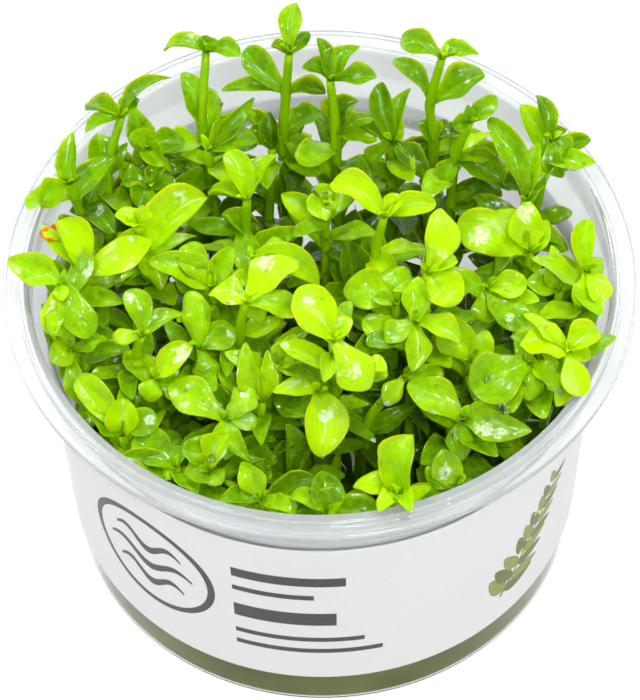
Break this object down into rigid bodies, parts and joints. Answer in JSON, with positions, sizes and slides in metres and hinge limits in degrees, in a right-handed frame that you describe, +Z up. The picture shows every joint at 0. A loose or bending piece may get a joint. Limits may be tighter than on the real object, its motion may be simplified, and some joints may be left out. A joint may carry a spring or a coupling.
{
  "type": "potted aquarium plant",
  "caption": "In-vitro aquarium plant: leafy lemon bacopa plantlets rooted in gel in an open, flanged clear cup with a paper sleeve.",
  "frame": {"origin": "centre of the cup's foot, on the surface it stands on", "axes": "+Z up along the cup's axis, -Y towards the sleeve's printed front"},
  "size_m": [0.1, 0.1, 0.086],
  "materials": {
    "clear_plastic": "clear gloss",
    "label_paper": "satin printed sleeve",
    "gel_jelly": "wet jelly",
    "leaf_green": "wet fleshy leaf",
    "withered_brown": "dry withered leaf"
  },
  "bodies": {
    "root": {"cup": "clear_plastic", "label": "label_paper", "gel": "gel_jelly", "withered_leaf": "withered_brown", "plantlet_back_1": "leaf_green", "plantlet_back_2": "leaf_green", "plantlet_back_3": "leaf_green", "plantlet_back_4": "leaf_green", "plantlet_back_5": "leaf_green", "plantlet_back_6": "leaf_green", "plantlet_back_7": "leaf_green", "plantlet_back_8": "leaf_green", "plantlet_back_9": "leaf_green", "plantlet_back_left_1": "leaf_green", "plantlet_back_left_2": "leaf_green", "plantlet_back_left_3": "leaf_green", "plantlet_back_left_4": "leaf_green", "plantlet_back_right_1": "leaf_green", "plantlet_back_right_2": "leaf_green", "plantlet_left_1": "leaf_green", "plantlet_left_2": "leaf_green", "plantlet_left_3": "leaf_green", "plantlet_left_4": "leaf_green", "plantlet_left_5": "leaf_green", "plantlet_left_6": "leaf_green", "plantlet_left_7": "leaf_green", "plantlet_middle_1": "leaf_green", "plantlet_middle_2": "leaf_green", "plantlet_middle_3": "leaf_green", "plantlet_middle_4": "leaf_green", "plantlet_middle_5": "leaf_green", "plantlet_middle_6": "leaf_green", "plantlet_middle_7": "leaf_green", "plantlet_middle_8": "leaf_green", "plantlet_middle_9": "leaf_green", "plantlet_right_1": "leaf_green", "plantlet_right_2": "leaf_green", "plantlet_right_3": "leaf_green", "plantlet_right_4": "leaf_green", "plantlet_right_5": "leaf_green", "plantlet_right_6": "leaf_green", "plantlet_right_7": "leaf_green", "plantlet_right_8": "leaf_green", "plantlet_right_9": "leaf_green", "plantlet_right_10": "leaf_green", "plantlet_right_11": "leaf_green", "plantlet_right_12": "leaf_green", "plantlet_front_1": "leaf_green", "plantlet_front_2": "leaf_green", "plantlet_front_3": "leaf_green", "plantlet_front_4": "leaf_green", "plantlet_front_5": "leaf_green", "plantlet_front_6": "leaf_green", "plantlet_front_7": "leaf_green", "plantlet_front_8": "leaf_green", "plantlet_front_9": "leaf_green", "plantlet_front_10": "leaf_green", "plantlet_front_11": "leaf_green", "plantlet_front_12": "leaf_green"}
  },
  "joints": []
}
